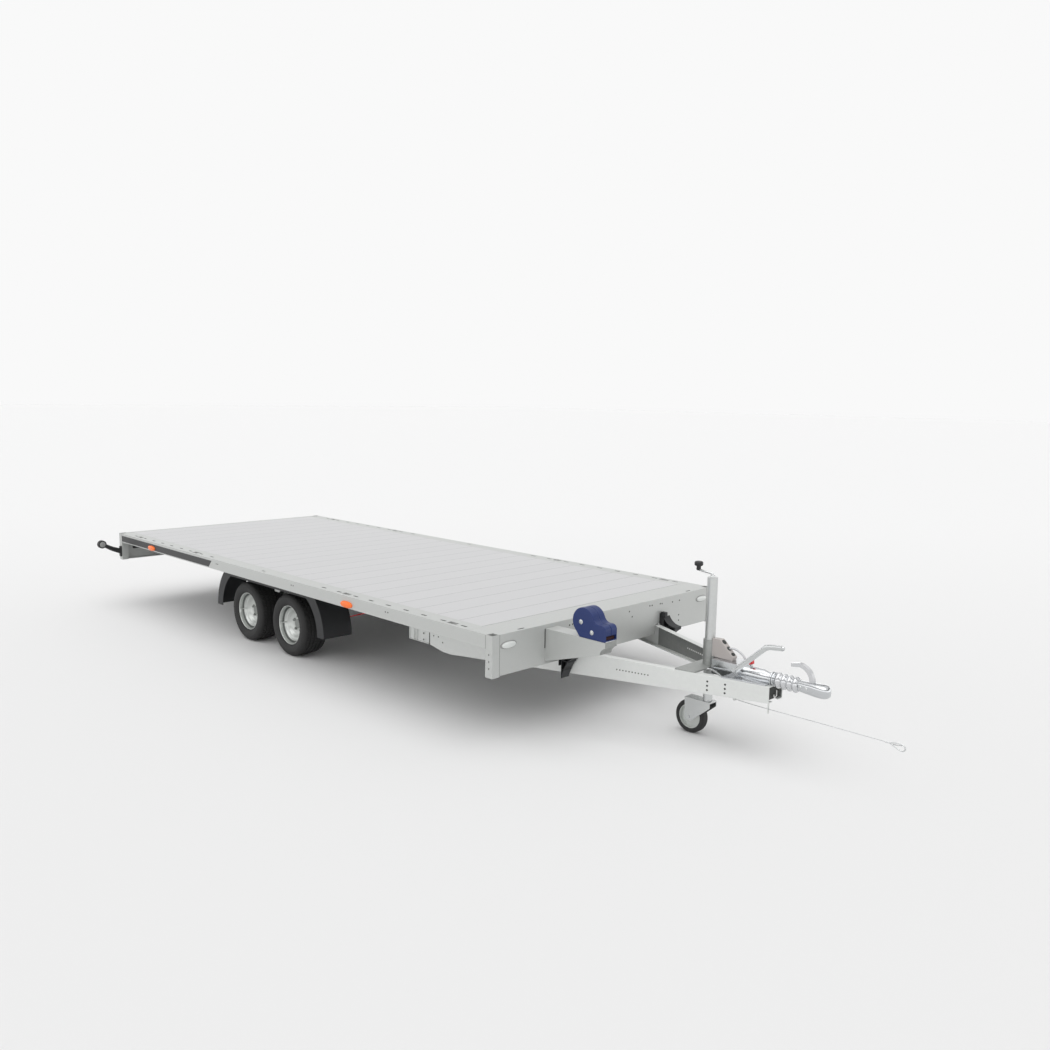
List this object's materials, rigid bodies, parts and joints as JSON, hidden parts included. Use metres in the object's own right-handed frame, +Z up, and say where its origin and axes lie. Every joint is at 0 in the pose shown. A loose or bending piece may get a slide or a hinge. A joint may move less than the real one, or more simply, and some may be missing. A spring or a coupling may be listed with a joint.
{
  "type": "flatbed trailer",
  "caption": "Tandem-axle flatbed trailer: plank deck between slotted side rails, A-frame drawbar with overrun brake, jockey wheel, side winch and black mudguards.",
  "frame": {"origin": "on the floor, under the middle of the trailer's bounding box without its breakaway cable", "axes": "+X towards the coupling, +Y to the trailer's left, +Z up"},
  "size_m": [6.9605, 2.5358, 1.026],
  "materials": {
    "galvanised_sheet": "hot-dip galvanised, smooth, satin",
    "galvanised_frame": "hot-dip galvanised, matt",
    "deck_aluminium": "extruded, fine-brushed across the trailer",
    "black_polypropylene": "injection moulded, satin black",
    "tyre_rubber": "moulded, matt",
    "silver_rim": "silver stove enamel",
    "cast_hub": "cast, machined face",
    "axle_steel": "galvanised square tube",
    "navy_plastic": "moulded, satin navy blue",
    "strap_webbing": "woven, dark red-brown",
    "amber_lens": "moulded translucent amber",
    "clear_lens": "moulded clear",
    "red_lens": "moulded translucent red",
    "polished_casting": "polished, zinc plated",
    "pale_rubber": "moulded, pale grey",
    "black_rubber": "moulded, black",
    "lever_steel": "light grey powder coat",
    "zinc_tube": "bright zinc plated tube",
    "red_plastic": "moulded red",
    "wire_rope": "laid steel wire",
    "blank_plate": "white enamel, blank"
  },
  "bodies": {
    "chassis": {"axle_front": "axle_steel", "axle_rear": "axle_steel", "brake_release_catch": "red_plastic", "breakaway_cable": "wire_rope", "breakaway_hook": "zinc_tube", "cable_guides": "lever_steel", "chassis_rails": "galvanised_frame", "chock_holders": "galvanised_frame", "corner_posts": "galvanised_sheet", "coupling_handle": "lever_steel", "coupling_head": "polished_casting", "cross_members": "galvanised_frame", "deck_planks": "deck_aluminium", "drawbar_beam_left": "galvanised_sheet", "drawbar_beam_right": "galvanised_sheet", "drawbar_transom": "galvanised_frame", "front_marker_lamps": "clear_lens", "front_panel": "galvanised_sheet", "jockey_bracket": "zinc_tube", "jockey_clamp_handle": "zinc_tube", "jockey_crank": "zinc_tube", "jockey_crank_knob": "black_polypropylene", "jockey_outer_tube": "zinc_tube", "lashing_rings": "zinc_tube", "mudguard_hangers": "galvanised_frame", "mudguard_left": "black_polypropylene", "mudguard_right": "black_polypropylene", "number_plate": "blank_plate", "overrun_bellows": "pale_rubber", "overrun_housing": "polished_casting", "rear_lamps": "red_lens", "rear_panel": "galvanised_sheet", "side_marker_lamps": "amber_lens", "side_rail_left": "galvanised_sheet", "side_rail_right": "galvanised_sheet", "wheel_chocks": "black_polypropylene", "width_marker_arms": "black_rubber", "width_marker_lenses": "clear_lens", "winch_cover": "navy_plastic", "winch_seat": "galvanised_sheet", "winch_strap": "strap_webbing"},
    "wheel_front_right": {"tyre_front_right": "tyre_rubber", "rim_front_right": "silver_rim", "hub_front_right": "cast_hub"},
    "wheel_front_left": {"tyre_front_left": "tyre_rubber", "rim_front_left": "silver_rim", "hub_front_left": "cast_hub"},
    "wheel_rear_right": {"tyre_rear_right": "tyre_rubber", "rim_rear_right": "silver_rim", "hub_rear_right": "cast_hub"},
    "wheel_rear_left": {"tyre_rear_left": "tyre_rubber", "rim_rear_left": "silver_rim", "hub_rear_left": "cast_hub"},
    "jockey_leg": {"jockey_inner_tube": "zinc_tube"},
    "jockey_castor": {"jockey_fork": "zinc_tube"},
    "jockey_roller": {"jockey_wheel_tyre": "black_rubber", "jockey_wheel_rim": "zinc_tube"},
    "handbrake": {"handbrake_lever": "lever_steel"}
  },
  "joints": [
    {"name": "wheel_front_right_spin", "type": "hinge", "parent": "chassis", "child": "wheel_front_right", "pos_m": [-0.596, -0.798, 0.234], "axis": [0, 1, 0], "continuous": true},
    {"name": "wheel_front_left_spin", "type": "hinge", "parent": "chassis", "child": "wheel_front_left", "pos_m": [-0.596, 0.798, 0.234], "axis": [0, 1, 0], "continuous": true},
    {"name": "wheel_rear_right_spin", "type": "hinge", "parent": "chassis", "child": "wheel_rear_right", "pos_m": [-1.207, -0.798, 0.234], "axis": [0, 1, 0], "continuous": true},
    {"name": "wheel_rear_left_spin", "type": "hinge", "parent": "chassis", "child": "wheel_rear_left", "pos_m": [-1.207, 0.798, 0.234], "axis": [0, 1, 0], "continuous": true},
    {"name": "jockey_lift", "type": "slide", "parent": "chassis", "child": "jockey_leg", "axis": [0, 0, 1], "range_m": [-0.064, 0.136]},
    {"name": "jockey_swivel", "type": "hinge", "parent": "jockey_leg", "child": "jockey_castor", "pos_m": [2.508, 0, 0.212], "axis": [0, 0, 1], "continuous": true},
    {"name": "jockey_roll", "type": "hinge", "parent": "jockey_castor", "child": "jockey_roller", "pos_m": [2.403, 0, 0.1], "axis": [0, 1, 0], "continuous": true},
    {"name": "handbrake_pull", "type": "hinge", "parent": "chassis", "child": "handbrake", "pos_m": [2.725, -0.071, 0.455], "axis": [0, -1, 0], "range_deg": [0, 50]}
  ]
}
